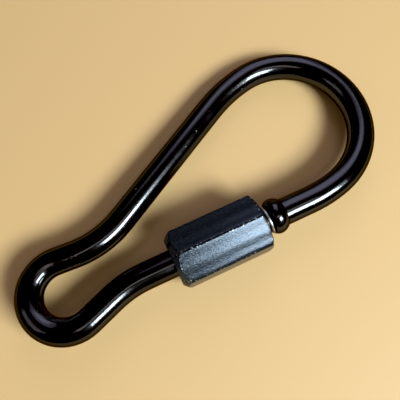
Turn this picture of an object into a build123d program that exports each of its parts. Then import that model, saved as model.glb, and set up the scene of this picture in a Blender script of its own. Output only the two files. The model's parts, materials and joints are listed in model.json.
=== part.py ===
from build123d import *
from math import cos, radians, sin, tan
import os

# Carabiner keyring: a pear-shaped ring of round rod, closed by a long hexagonal screw nut.
# The ring lies in the XY plane, with +X from its small loop to its big loop and +Z normal to it,
# and the origin is the centre of the whole object's box. Sizes are in millimetres and degrees.

# ---------------------------------------------------------------- rod and outline
rod_diameter = 5.3

# The nut's axis is the line that the ring closes on. Places along it count from the middle of the
# nut at rest, positive towards the big loop.
nut_centre = (-2.729, -9.149)
nut_axis_angle = -14.0

# From the collar round the big loop, back along the arm, and round the small loop to the nut.
closing_bend_start = 19.4
closing_bend_radius = 26.0
closing_bend_turn = 16.0
big_loop_radius = 14.6
big_loop_turn = 175.0
shoulder_radius = 31.0
shoulder_turn = 18.0
arm_length = 29.25
neck_radius = 19.0
neck_turn = 33.0
neck_run_length = 3.65
small_loop_radius = 6.7
entry_bend_radius = 21.0
entry_bend_turn = 20.0

# ---------------------------------------------------------------- thread, M6 coarse, right-hand
thread_pitch = 1.0
thread_half_angle = 30.0
sharp_crest_radius = 3.0
crest_flat = thread_pitch / 8
stub_root_radius = 2.387
stub_crest_radius = 2.94
nut_crest_radius = 2.5
nut_root_radius = 3.05
flank_clearance = 0.05
foot_overlap = 0.1
ridge_start = 4.9
ridge_length = 7.0
blank_margin = 1.0

# ---------------------------------------------------------------- rod ends inside the nut
stub_tip = 5.4
stub_tip_chamfer = 0.6
plain_tip = -2.6
plain_tip_chamfer = 0.5

# ---------------------------------------------------------------- nut
nut_length = 18.4
nut_across_flats = 10.5
nut_corner_lean = 3.2
nut_edge_round = 0.4
plain_face_radius = 4.5
plain_chamfer_angle = 45.0
threaded_face_radius = 4.85
threaded_chamfer_angle = 30.0
nut_bore_radius = 2.725
bore_mouth_chamfer = 0.45
nut_thread_length = 4.0
thread_relief_width = 1.2
thread_mouth_radius = 3.2
thread_mouth_setback = 0.3

# ---------------------------------------------------------------- stop collar
collar_start = 10.75
collar_width = 3.0
collar_radius = 3.5
collar_face_radius = 3.1
collar_crown_place = 1.1

# ---------------------------------------------------------------- snap ring and its groove
ring_wire_diameter = 0.55
ring_outer_radius = 2.7
ring_place = -4.4
ring_gap_angle = 30.0
groove_width = 0.65
groove_radius = 2.1

# ---------------------------------------------------------------- planes and worked-out values
rod_radius = rod_diameter / 2
nut_half = nut_length / 2
nut_corner_radius = nut_across_flats / 2 / cos(radians(30))
collar_end = collar_start + collar_width
small_loop_turn = 360 - closing_bend_turn - big_loop_turn - shoulder_turn + neck_turn + entry_bend_turn

# Local X runs along the nut's axis and local Y across it, towards the arm.
nut_plane = Plane(Location((*nut_centre, 0), (0, 0, nut_axis_angle)))
nut_axis = Axis(nut_plane.origin, nut_plane.x_dir)


def on_axis(place):
    """The point on the nut's axis at a place along it."""
    return nut_plane.from_local_coords(Vector(place, 0, 0))


def across_axis(place):
    """The plane square to the nut's axis at a place along it, with its local Y up."""
    return Plane(on_axis(place), x_dir=nut_plane.y_dir, z_dir=nut_plane.x_dir)


def turned(points):
    """A turned blank: a profile of (place, radius) points, closed and revolved about the nut's axis."""
    with BuildPart() as blank:
        with BuildSketch(nut_plane):
            with BuildLine():
                Polyline(*points, close=True)
            make_face()
        revolve(axis=nut_axis)
    return blank.part


def flank_gap(radius, clearance):
    """Half the width of the space that the flanks leave for a ridge at a radius."""
    return crest_flat / 2 + (sharp_crest_radius - radius) * tan(radians(thread_half_angle)) + clearance


def helical_ridge(place, foot, crest):
    """A thread's ridge from a place on the axis, between its (radius, half width) at foot and crest."""
    start = across_axis(place)
    with BuildPart() as ridge:
        with BuildLine():
            lead = Helix(thread_pitch, ridge_length, crest[0], center=start.origin, direction=start.z_dir)
        outwards = (lead @ 0 - start.origin).normalized()
        with BuildSketch(Plane(start.origin, x_dir=outwards, z_dir=start.z_dir.cross(outwards))):
            with BuildLine():
                Polyline((foot[0], -foot[1]), (crest[0], -crest[1]), crest, foot, close=True)
            make_face()
        sweep(path=lead, is_frenet=True)
    return ridge.part


# ---------------------------------------------------------------- outline of the rod
with BuildLine() as outline:
    collar_run = Line(on_axis(collar_start), on_axis(closing_bend_start))
    closing_bend = JernArc(collar_run @ 1, collar_run % 1, closing_bend_radius, closing_bend_turn)
    big_loop = JernArc(closing_bend @ 1, closing_bend % 1, big_loop_radius, big_loop_turn)
    shoulder = JernArc(big_loop @ 1, big_loop % 1, shoulder_radius, shoulder_turn)
    arm = Line(shoulder @ 1, shoulder @ 1 + (shoulder % 1) * arm_length)
    neck = JernArc(arm @ 1, arm % 1, neck_radius, -neck_turn)
    neck_run = Line(neck @ 1, neck @ 1 + (neck % 1) * neck_run_length)
    small_loop = JernArc(neck_run @ 1, neck_run % 1, small_loop_radius, small_loop_turn)
    # The lower run is as long as brings the rod onto the nut's axis at the end of the entry bend.
    entry_rise = entry_bend_radius * (1 - cos(radians(entry_bend_turn)))
    rise_left = -nut_plane.to_local_coords(small_loop @ 1).Y - entry_rise
    lower_run_length = rise_left / sin(radians(entry_bend_turn))
    lower_run = Line(small_loop @ 1, small_loop @ 1 + (small_loop % 1) * lower_run_length)
    entry_bend = JernArc(lower_run @ 1, lower_run % 1, entry_bend_radius, -entry_bend_turn)
    plain_run = Line(entry_bend @ 1, on_axis(plain_tip))

# ---------------------------------------------------------------- bent rod
with BuildPart() as threaded_stub:
    with BuildSketch(across_axis(ridge_start)):
        Circle(stub_root_radius)
    extrude(amount=ridge_length)
    stub_foot = stub_root_radius - foot_overlap
    add(helical_ridge(
        ridge_start,
        foot=(stub_foot, flank_gap(stub_foot, -flank_clearance)),
        crest=(stub_crest_radius, flank_gap(stub_crest_radius, -flank_clearance)),
    ))
    # The blank trims the thread at the collar and bevels it at the tip, and stands clear of its crest.
    blank_radius = stub_crest_radius + blank_margin
    stub_blank = turned([
        (stub_tip, 0),
        (stub_tip, stub_crest_radius - stub_tip_chamfer),
        (stub_tip + stub_tip_chamfer + blank_margin, blank_radius),
        (collar_start, blank_radius),
        (collar_start, 0),
    ])
    add(stub_blank, mode=Mode.INTERSECT)

with BuildPart() as bent_rod:
    with BuildSketch(across_axis(collar_start)):
        Circle(rod_radius)
    sweep(path=outline.wires()[0])
    tip_edge = bent_rod.edges().filter_by(GeomType.CIRCLE).sort_by_distance(on_axis(plain_tip))[0]
    chamfer(tip_edge, length=plain_tip_chamfer)
    groove = turned([
        (ring_place - groove_width / 2, groove_radius),
        (ring_place - groove_width / 2, rod_diameter),
        (ring_place + groove_width / 2, rod_diameter),
        (ring_place + groove_width / 2, groove_radius),
    ])
    add(groove, mode=Mode.SUBTRACT)
    add(threaded_stub.part)

# ---------------------------------------------------------------- stop collar
with BuildPart() as stop_collar:
    with BuildSketch(nut_plane):
        with BuildLine():
            crown = (collar_start + collar_crown_place, collar_radius)
            face_edge = (collar_start, collar_face_radius)
            Polyline((collar_end, rod_radius), (collar_start, rod_radius), face_edge)
            TangentArc(crown, face_edge, tangent=(-1, 0))
            TangentArc(crown, (collar_end, rod_radius), tangent=(1, 0))
        make_face()
    revolve(axis=nut_axis)

# ---------------------------------------------------------------- hexagonal nut
with BuildPart() as nut_thread:
    # The nut's ridge runs midway between the turns of the stub's, and is bevelled at both ends.
    nut_foot = nut_root_radius + foot_overlap
    add(helical_ridge(
        ridge_start - thread_pitch / 2,
        foot=(nut_foot, thread_pitch / 2 - flank_gap(nut_foot, flank_clearance)),
        crest=(nut_crest_radius, thread_pitch / 2 - flank_gap(nut_crest_radius, flank_clearance)),
    ))
    nut_thread_start = nut_half - nut_thread_length
    nut_thread_end = nut_half - thread_mouth_setback
    bevel = nut_foot - nut_crest_radius + foot_overlap
    nut_thread_blank = turned([
        (nut_thread_start, nut_foot + blank_margin),
        (nut_thread_start, nut_foot),
        (nut_thread_start + bevel, nut_foot - bevel),
        (nut_thread_end - bevel, nut_foot - bevel),
        (nut_thread_end, nut_foot),
        (nut_thread_end, nut_foot + blank_margin),
    ])
    add(nut_thread_blank, mode=Mode.INTERSECT)

with BuildPart() as hex_nut:
    with BuildSketch(across_axis(-nut_half)):
        RegularPolygon(nut_across_flats / 2, 6, major_radius=False, rotation=90 + nut_corner_lean)
    extrude(amount=nut_length)
    fillet(edges().filter_by(nut_axis), radius=nut_edge_round)
    plain_chamfer = (nut_corner_radius - plain_face_radius) * tan(radians(plain_chamfer_angle))
    threaded_chamfer = (nut_corner_radius - threaded_face_radius) * tan(radians(threaded_chamfer_angle))
    turned_outside = turned([
        (-nut_half, 0),
        (-nut_half, plain_face_radius),
        (plain_chamfer - nut_half, nut_corner_radius),
        (nut_half - threaded_chamfer, nut_corner_radius),
        (nut_half, threaded_face_radius),
        (nut_half, 0),
    ])
    add(turned_outside, mode=Mode.INTERSECT)
    turned_inside = turned([
        (-nut_half, 0),
        (-nut_half, nut_bore_radius + bore_mouth_chamfer),
        (-nut_half + bore_mouth_chamfer, nut_bore_radius),
        (nut_thread_start - thread_relief_width, nut_bore_radius),
        (nut_thread_start - thread_relief_width, nut_root_radius),
        (nut_half - thread_mouth_radius + nut_root_radius, nut_root_radius),
        (nut_half, thread_mouth_radius),
        (nut_half, 0),
    ])
    add(turned_inside, mode=Mode.SUBTRACT)
    add(nut_thread.part)

# ---------------------------------------------------------------- snap ring
with BuildPart() as snap_ring:
    with BuildSketch(nut_plane):
        with Locations((ring_place, ring_outer_radius - ring_wire_diameter / 2)):
            Circle(ring_wire_diameter / 2)
    revolve(axis=nut_axis, revolution_arc=360 - ring_gap_angle)

# ---------------------------------------------------------------- labels and files
bent_rod.part.label = "bent_rod"
stop_collar.part.label = "stop_collar"
hex_nut.part.label = "hex_nut"
snap_ring.part.label = "snap_ring"

os.makedirs("parts", exist_ok=True)
export_step(bent_rod.part, "parts/bent_rod.step")
export_step(stop_collar.part, "parts/stop_collar.step")
export_step(hex_nut.part, "parts/hex_nut.step")
export_step(snap_ring.part, "parts/snap_ring.step")
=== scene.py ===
import json
from math import atan, cos, pi, radians, sin, tan

import bpy
from mathutils import Matrix, Vector

# Carabiner keyring: materials for the CAD nodes bent_rod, stop_collar, hex_nut and snap_ring, and the
# floor, camera and lights. The objects are in metres. Materials work in millimetres from the nut's
# centre, along and across the nut's axis and up.

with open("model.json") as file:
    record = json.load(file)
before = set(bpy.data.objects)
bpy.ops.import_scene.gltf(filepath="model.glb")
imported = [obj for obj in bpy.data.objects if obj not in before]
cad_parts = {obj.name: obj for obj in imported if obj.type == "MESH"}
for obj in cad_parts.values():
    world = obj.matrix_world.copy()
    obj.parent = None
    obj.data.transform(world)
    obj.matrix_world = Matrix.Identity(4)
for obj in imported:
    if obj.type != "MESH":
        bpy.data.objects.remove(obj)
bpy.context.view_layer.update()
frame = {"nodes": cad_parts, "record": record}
nodes = frame["nodes"]

MM = 0.001

# ------------------------------------------------------------------ sizes, in millimetres and degrees
ROD_RADIUS = 2.65
SMALL_LOOP_INSIDE_RADIUS = 4.05
COLLAR_START = 10.75
STUB_START = 3.1
STUB_RADIUS = 3.15
STUB_ROOT_RADIUS = 2.5
STUB_CREST_RADIUS = 2.82
NUT_HALF = 9.2
NUT_FACE_DISTANCE = 5.25
CORNER_LEAN = 3.2
PLAIN_FACE_RADIUS = 4.5
THREADED_FACE_RADIUS = 4.85
THREADED_CHAMFER_ANGLE = 30.0

# ------------------------------------------------------------------ axes and places, in metres
record = frame["record"]
nut_turn = record["behaviour"]["joints"][0]
NUT_CENTRE = Vector(nut_turn["pos_m"])
UP = Vector((0.0, 0.0, 1.0))
ALONG = -Vector(nut_turn["axis"])
ACROSS = UP.cross(ALONG)
BIG_LOOP_SEAT, SMALL_LOOP_SEAT = (Vector(mount["pos_m"]) for mount in record["mounts"])
SMALL_LOOP_CENTRE = SMALL_LOOP_SEAT + Vector((SMALL_LOOP_INSIDE_RADIUS, 0.0, 0.0)) * MM


# ------------------------------------------------------------------ node helpers
class Graph:
    """A material's node tree with short calls for the nodes used here."""

    def __init__(self, name):
        self.material = bpy.data.materials.new(name)
        self.material.use_nodes = True
        self.tree = self.material.node_tree
        self.tree.nodes.clear()
        self.output = self.add("ShaderNodeOutputMaterial")
        self.shader = self.add("ShaderNodeBsdfPrincipled")
        self.link(self.shader.outputs[0], self.output.inputs["Surface"])

    def add(self, kind, **settings):
        node = self.tree.nodes.new(kind)
        for key, value in settings.items():
            setattr(node, key, value)
        return node

    def link(self, source, target):
        self.tree.links.new(source, target)

    def feed(self, socket, value):
        """Sets a socket to a number or colour, or links it to another socket."""
        if isinstance(value, bpy.types.NodeSocket):
            self.link(value, socket)
        else:
            socket.default_value = value

    def math(self, operation, a, b=0.0):
        node = self.add("ShaderNodeMath", operation=operation)
        self.feed(node.inputs[0], a)
        self.feed(node.inputs[1], b)
        return node.outputs[0]

    def product(self, a, b):
        return self.math("MULTIPLY", a, b)

    def hypotenuse(self, a, b):
        return self.math("SQRT", self.math("ADD", self.product(a, a), self.product(b, b)))

    def vector(self, *parts):
        node = self.add("ShaderNodeCombineXYZ")
        for socket, value in zip(node.inputs, parts):
            self.link(value, socket)
        return node.outputs[0]

    def dot(self, vector, direction):
        node = self.add("ShaderNodeVectorMath", operation="DOT_PRODUCT")
        self.feed(node.inputs[0], vector)
        node.inputs[1].default_value = direction
        return node.outputs["Value"]

    def coordinates(self):
        """Millimetres from the nut's centre: along, across and up, and the three as one vector."""
        source = self.add("ShaderNodeTexCoord").outputs["Object"]
        shift = self.add("ShaderNodeVectorMath", operation="SUBTRACT")
        self.link(source, shift.inputs[0])
        shift.inputs[1].default_value = NUT_CENTRE
        scale = self.add("ShaderNodeVectorMath", operation="SCALE")
        self.link(shift.outputs[0], scale.inputs[0])
        scale.inputs["Scale"].default_value = 1.0 / MM
        place = scale.outputs[0]
        along, across, up = (self.dot(place, axis) for axis in (ALONG, ACROSS, UP))
        return along, across, up, self.vector(along, across, up)

    def distance(self, vector, point):
        node = self.add("ShaderNodeVectorMath", operation="DISTANCE")
        self.link(vector, node.inputs[0])
        node.inputs[1].default_value = point
        return node.outputs["Value"]

    def stretched(self, vector, factors):
        node = self.add("ShaderNodeVectorMath", operation="MULTIPLY")
        self.feed(node.inputs[0], vector)
        node.inputs[1].default_value = factors
        return node.outputs[0]

    def noise(self, vector, scale, detail=2.0, roughness=0.5):
        node = self.add("ShaderNodeTexNoise", noise_dimensions="3D")
        self.feed(node.inputs["Vector"], vector)
        node.inputs["Scale"].default_value = scale
        node.inputs["Detail"].default_value = detail
        node.inputs["Roughness"].default_value = roughness
        return node.outputs[0]

    def ramp(self, value, low, high, smooth=True, out_low=0.0, out_high=1.0):
        node = self.add("ShaderNodeMapRange", interpolation_type="SMOOTHSTEP" if smooth else "LINEAR")
        self.feed(node.inputs["Value"], value)
        limits = {"From Min": low, "From Max": high, "To Min": out_low, "To Max": out_high}
        for name, number in limits.items():
            node.inputs[name].default_value = number
        return node.outputs[0]

    def mix(self, factor, a, b):
        node = self.add("ShaderNodeMix", data_type="RGBA")
        self.feed(node.inputs["Factor"], factor)
        self.feed(node.inputs[6], a)
        self.feed(node.inputs[7], b)
        return node.outputs[2]

    def blend(self, factor, a, b):
        node = self.add("ShaderNodeMix", data_type="FLOAT")
        self.feed(node.inputs["Factor"], factor)
        self.feed(node.inputs[2], a)
        self.feed(node.inputs[3], b)
        return node.outputs[0]

    def bump(self, height, distance, strength=1.0, normal=None):
        node = self.add("ShaderNodeBump")
        self.feed(node.inputs["Height"], height)
        node.inputs["Distance"].default_value = distance
        node.inputs["Strength"].default_value = strength
        if normal is not None:
            self.link(normal, node.inputs["Normal"])
        return node.outputs[0]

    def put(self, name, value):
        self.feed(self.shader.inputs[name], value)


def colour(red, green, blue):
    return (red, green, blue, 1.0)


def on_nut_axes(point):
    """A point of the row frame, in millimetres along, across and up from the nut's centre."""
    offset = (point - NUT_CENTRE) / MM
    return Vector((offset.dot(ALONG), offset.dot(ACROSS), offset.dot(UP)))


# ------------------------------------------------------------------ gloss black coat
BLACK_COAT = colour(0.060, 0.060, 0.062)
BLACK_COAT_EDGE_TINT = colour(0.38, 0.32, 0.20)
RUBBED_COAT = colour(0.12, 0.115, 0.11)
RUBBED_ROUGHNESS = 0.34
DUST = colour(0.30, 0.30, 0.30)
DUST_ROUGHNESS = 0.6
DUST_SCALE = 0.8
DUST_THRESHOLD = 0.64
BARE_STEEL = colour(0.74, 0.73, 0.71)
BARE_STEEL_ROUGHNESS = 0.32
# Painted shade for the thread's roots: darkest at the root radius, going over to bare steel at the crests.
THREAD_ROOT_SHADE = colour(0.05, 0.045, 0.042)


def dust_mask(g, place):
    """Sparse specks: the heart of a Voronoi cell, kept for a small share of the cells."""
    cells = g.add("ShaderNodeTexVoronoi", feature="F1")
    g.link(place, cells.inputs["Vector"])
    cells.inputs["Scale"].default_value = DUST_SCALE
    heart = g.ramp(cells.outputs["Distance"], 0.10, 0.04)
    chance = g.noise(cells.outputs["Position"], 7.3, detail=0.0)
    return g.product(heart, g.ramp(chance, DUST_THRESHOLD, DUST_THRESHOLD + 0.02))


def bend_streaks(g, along, up, place):
    """Fine streaks that bending left along the inside of the small loop, as heights."""
    from_centre = g.distance(g.stretched(place, (1.0, 1.0, 0.0)), on_nut_axes(SMALL_LOOP_CENTRE))
    lines = g.noise(g.vector(from_centre, up, g.product(along, 0.12)), 2.6, detail=1.0)
    return g.product(lines, g.ramp(from_centre, 7.6, 6.4))


def stub_mask(g, along, radius):
    """One on the threaded stub, up to the collar, and zero on the rest of the rod."""
    near_axis = g.ramp(radius, STUB_RADIUS + 0.1, STUB_RADIUS)
    past_tip = g.ramp(along, STUB_START - 0.1, STUB_START)
    before_collar = g.ramp(along, COLLAR_START + 0.02, COLLAR_START - 0.02)
    return g.product(near_axis, g.product(past_tip, before_collar))


def gloss_coat(name, bare_thread):
    """Gloss black coat with a faint orange peel and dust. The stub's thread is bare steel, with painted
    shade in its roots.
    """
    g = Graph(name)
    along, across, up, place = g.coordinates()
    dust = dust_mask(g, place)
    smear = g.noise(g.stretched(place, (0.25, 0.25, 0.25)), 1.0, detail=4.0)
    rough = g.ramp(smear, 0.35, 0.75, out_low=0.10, out_high=0.17)
    base = BLACK_COAT
    # Keys and rings rub the inside of both loops.
    scratches = g.noise(g.stretched(place, (1.0, 1.0, 4.0)), 1.6, detail=5.0, roughness=0.7)
    streaks = g.ramp(scratches, 0.53, 0.66)
    for seat in (BIG_LOOP_SEAT, SMALL_LOOP_SEAT):
        rubbed = g.product(streaks, g.ramp(g.distance(place, on_nut_axes(seat)), 5.5, 2.0))
        base = g.mix(rubbed, base, RUBBED_COAT)
        rough = g.blend(rubbed, rough, RUBBED_ROUGHNESS)
    base = g.mix(dust, base, DUST)
    rough = g.blend(dust, rough, DUST_ROUGHNESS)
    if bare_thread:
        radius = g.hypotenuse(across, up)
        stub = stub_mask(g, along, radius)
        # The thread's roots get painted shade, going over to bare steel at the crests.
        bare = g.mix(g.ramp(radius, STUB_ROOT_RADIUS, STUB_CREST_RADIUS), THREAD_ROOT_SHADE, BARE_STEEL)
        base = g.mix(stub, base, bare)
        rough = g.blend(stub, rough, BARE_STEEL_ROUGHNESS)
    g.put("Base Color", base)
    g.put("Roughness", rough)
    g.put("Metallic", g.math("SUBTRACT", 1.0, dust))
    g.put("Specular Tint", BLACK_COAT_EDGE_TINT)
    peel = g.bump(g.noise(place, 1.6, detail=1.0), 0.02 * MM, 0.35)
    g.put("Normal", g.bump(bend_streaks(g, along, up, place), 0.09 * MM, 0.7, normal=peel))
    return g.material


# ------------------------------------------------------------------ satin black coat
SATIN_DARK = colour(0.022, 0.029, 0.039)
SATIN_LIGHT = colour(0.049, 0.059, 0.071)
# Painted shade: a darker outline along the nut's corners and lips.
PAINTED_EDGE_SHADE = colour(0.014, 0.016, 0.019)
SATIN_EDGE_TINT = colour(0.45, 0.45, 0.40)
SATIN_METALLIC = 0.6
WORN_SATIN = colour(0.34, 0.37, 0.40)
WORN_ROUGHNESS = 0.35
WORN_METALLIC = 0.9

# The slight waves drawn along each face of the nut: where each stop lies across the face, and its height.
FACE_WAVES = ((0.0, 0.30), (0.12, 0.50), (0.32, 0.35), (0.51, 0.62), (0.74, 0.30), (0.90, 0.42), (1.0, 0.0))


def fill_ramp(ramp, stops):
    """Sets a colour ramp to grey stops given as (position, value)."""
    while len(ramp.elements) < len(stops):
        ramp.elements.new(0.5)
    for element, (position, value) in zip(ramp.elements, stops):
        element.position = position
        element.color = colour(value, value, value)


def face_waves(g, past_corner, place):
    """The heights of the waves, which wander a little across the face as they run along it."""
    past_middle = g.math("SUBTRACT", past_corner, radians(30))
    across_face = g.product(g.math("TANGENT", past_middle), NUT_FACE_DISTANCE)
    wander = g.noise(g.stretched(place, (0.10, 0.3, 0.3)), 1.0)
    drawn = g.math("ADD", across_face, g.product(wander, 0.9))
    waves = g.add("ShaderNodeValToRGB")
    g.link(g.ramp(drawn, -2.8, 3.6, smooth=False), waves.inputs["Fac"])
    waves.color_ramp.interpolation = "B_SPLINE"
    fill_ramp(waves.color_ramp, FACE_WAVES)
    return waves.outputs["Color"]


def edge_mask(g, along, radius, from_corner):
    """One along the hexagon's corners, and on the lips where its faces meet the chamfers at both ends. It
    places both the painted edge shade and the edge wear.
    """
    chamfer_slope = tan(radians(THREADED_CHAMFER_ANGLE))
    plain_rise = g.math("SUBTRACT", radius, PLAIN_FACE_RADIUS)
    threaded_rise = g.product(g.math("SUBTRACT", radius, THREADED_FACE_RADIUS), chamfer_slope)
    to_plain_lip = g.math("SUBTRACT", g.math("ADD", along, NUT_HALF), plain_rise)
    to_threaded_lip = g.math("SUBTRACT", g.math("SUBTRACT", NUT_HALF, along), threaded_rise)
    to_lip = g.math("MINIMUM", to_plain_lip, to_threaded_lip)
    lip = g.product(g.ramp(to_lip, 0.02, 0.06), g.ramp(to_lip, 0.34, 0.14))
    return g.math("MAXIMUM", lip, g.ramp(from_corner, radians(3.4), radians(1.2)))


def satin_coat(name):
    """Satin black coat: drawn in waves along the nut's faces, mottled, darkened along its corners and lips
    with painted shade, and worn bright on its edges.
    """
    g = Graph(name)
    along, across, up, place = g.coordinates()
    # Angles round the hexagon, from the corner behind and from the nearest corner.
    angle = g.math("ARCTAN2", up, across)
    turned = g.math("ADD", g.math("SUBTRACT", angle, radians(90 + CORNER_LEAN)), 4 * pi)
    past_corner = g.math("FLOORED_MODULO", turned, radians(60))
    from_corner = g.math("PINGPONG", turned, radians(30))
    mottle = g.noise(g.stretched(place, (0.55, 1.0, 1.0)), 3.0, detail=5.0, roughness=0.7)
    edge_shade_and_wear = edge_mask(g, along, g.hypotenuse(across, up), from_corner)
    worn = g.product(edge_shade_and_wear, g.ramp(g.noise(place, 2.4, detail=3.0), 0.57, 0.66))
    base = g.mix(g.ramp(mottle, 0.3, 0.7), SATIN_DARK, SATIN_LIGHT)
    # Painted shade along the corners and lips.
    base = g.mix(edge_shade_and_wear, base, PAINTED_EDGE_SHADE)
    g.put("Base Color", g.mix(worn, base, WORN_SATIN))
    rough = g.ramp(mottle, 0.30, 0.72, out_low=0.15, out_high=0.22)
    g.put("Roughness", g.blend(worn, rough, WORN_ROUGHNESS))
    g.put("Metallic", g.blend(worn, SATIN_METALLIC, WORN_METALLIC))
    g.put("Specular Tint", SATIN_EDGE_TINT)
    waves = g.bump(face_waves(g, past_corner, place), 0.44 * MM)
    grain = g.bump(g.noise(place, 8.0, detail=3.0, roughness=0.7), 0.014 * MM, 0.5, normal=waves)
    g.put("Normal", g.bump(mottle, 0.040 * MM, 0.5, normal=grain))
    return g.material


# ------------------------------------------------------------------ spring steel and floor
SPRING_STEEL_DARK = colour(0.35, 0.35, 0.36)
SPRING_STEEL_LIGHT = colour(0.5, 0.5, 0.5)
FLOOR_PALE = colour(0.73, 0.475, 0.205)


def spring_steel(name):
    g = Graph(name)
    _, _, _, place = g.coordinates()
    g.put("Base Color", g.mix(g.noise(place, 3.0), SPRING_STEEL_DARK, SPRING_STEEL_LIGHT))
    g.put("Metallic", 1.0)
    g.put("Roughness", 0.35)
    return g.material


def floor_surface(name):
    g = Graph(name)
    g.put("Base Color", FLOOR_PALE)
    g.put("Roughness", 0.6)
    return g.material


# ------------------------------------------------------------------ the CAD nodes' slots
def dress(node, material):
    mesh = nodes[node].data
    mesh.materials.clear()
    mesh.materials.append(material)


dress("bent_rod", gloss_coat("rod_gloss_black", bare_thread=True))
dress("stop_collar", gloss_coat("collar_gloss_black", bare_thread=False))
dress("hex_nut", satin_coat("nut_satin_black"))
dress("snap_ring", spring_steel("ring_spring_steel"))

# ------------------------------------------------------------------ floor
# The keyring rests on the nut's lowest corner and on the underside of the big loop, so the floor
# leans against the ring's plane about the nut's axis.
BIG_LOOP_REACH = 29.0
NUT_CORNER_DROP = 6.03
LEAN = atan((NUT_CORNER_DROP - ROD_RADIUS) / BIG_LOOP_REACH)
FLOOR_HALF = 1500.0 * MM
FLOOR_CORNERS = [(FLOOR_HALF * x, FLOOR_HALF * y, 0) for x, y in ((-1, -1), (1, -1), (1, 1), (-1, 1))]

floor_mesh = bpy.data.meshes.new("floor")
floor_mesh.from_pydata(FLOOR_CORNERS, [], [(0, 1, 2, 3)])
floor = bpy.data.objects.new("floor", floor_mesh)
bpy.context.scene.collection.objects.link(floor)
floor.location = NUT_CENTRE - UP * (NUT_CORNER_DROP * MM)
floor.rotation_euler = Matrix.Rotation(LEAN, 3, ALONG).to_euler()
floor_mesh.materials.append(floor_surface("floor_pale"))

# ------------------------------------------------------------------ camera
AIM = Vector((-0.065, -0.435, 0.0)) * MM
CAMERA_DISTANCE = 103.04 * MM
CAMERA_AZIMUTH = radians(-123.36)
CAMERA_ELEVATION = radians(70.81)
CAMERA_ROLL = radians(-6.0)
SENSOR_WIDTH = 36.0
FOCAL_LENGTH = 48.07
CLIP_START = 5.0 * MM


def direction(azimuth, elevation):
    return Vector((cos(azimuth) * cos(elevation), sin(azimuth) * cos(elevation), sin(elevation)))


back = direction(CAMERA_AZIMUTH, CAMERA_ELEVATION)
right = UP.cross(back).normalized()
upward = back.cross(right)
turn = Matrix.Rotation(CAMERA_ROLL, 3, back)
right, upward = turn @ right, turn @ upward
camera_data = bpy.data.cameras.new("camera")
camera_data.sensor_width = SENSOR_WIDTH
camera_data.lens = FOCAL_LENGTH
camera_data.clip_start = CLIP_START
camera = bpy.data.objects.new("camera", camera_data)
bpy.context.scene.collection.objects.link(camera)
axes = Matrix((right, upward, back)).transposed().to_4x4()
camera.matrix_world = Matrix.Translation(AIM + back * CAMERA_DISTANCE) @ axes
bpy.context.scene.camera = camera

# ------------------------------------------------------------------ light
LIGHT_DISTANCE = 600.0 * MM
DAYLIGHT = (0.80, 0.92, 1.0)
SKYLIGHT = (0.72, 0.72, 1.0)
WALL_LIGHT = (0.90, 0.92, 1.0)
CEILING_LIGHT = (1.0, 0.93, 0.88)
ROOM_LIGHT = colour(1.0, 0.74, 0.58)
ROOM_STRENGTH = 0.09
BLACK_LEVEL = (0.006, 0.006, 0.006)


def soft_light(name, azimuth, elevation, width, height, radiance, tint):
    """An area light that faces the keyring, with where it stands and how large it looks in degrees."""
    data = bpy.data.lights.new(name, "AREA")
    data.shape = "RECTANGLE"
    data.size = 2 * LIGHT_DISTANCE * tan(radians(width) / 2)
    data.size_y = 2 * LIGHT_DISTANCE * tan(radians(height) / 2)
    data.energy = radiance * data.size * data.size_y * pi
    data.color = tint
    light = bpy.data.objects.new(name, data)
    bpy.context.scene.collection.objects.link(light)
    towards = direction(radians(azimuth), radians(elevation))
    light.location = towards * LIGHT_DISTANCE
    light.rotation_euler = towards.to_track_quat("Z", "Y").to_euler()


soft_light("window", 282, 39.5, 25, 18, 31.0, DAYLIGHT)
soft_light("window_edge", 284, 41, 32, 27, 2.2, DAYLIGHT)
soft_light("sky_core", 46, 46, 22, 34, 1.1, SKYLIGHT)
soft_light("sky_edge", 47, 46, 36, 50, 0.6, SKYLIGHT)
soft_light("wall", 164, 42, 24, 18, 0.75, WALL_LIGHT)
soft_light("ceiling", 264, 66, 34, 8, 1.6, CEILING_LIGHT)

world = bpy.data.worlds.new("room")
bpy.context.scene.world = world
world.use_nodes = True
background = world.node_tree.nodes["Background"]
background.inputs["Color"].default_value = ROOM_LIGHT
background.inputs["Strength"].default_value = ROOM_STRENGTH

# ------------------------------------------------------------------ view
view = bpy.context.scene.view_settings
view.view_transform = "Standard"
view.use_curve_mapping = True
view.curve_mapping.black_level = BLACK_LEVEL
view.curve_mapping.update()
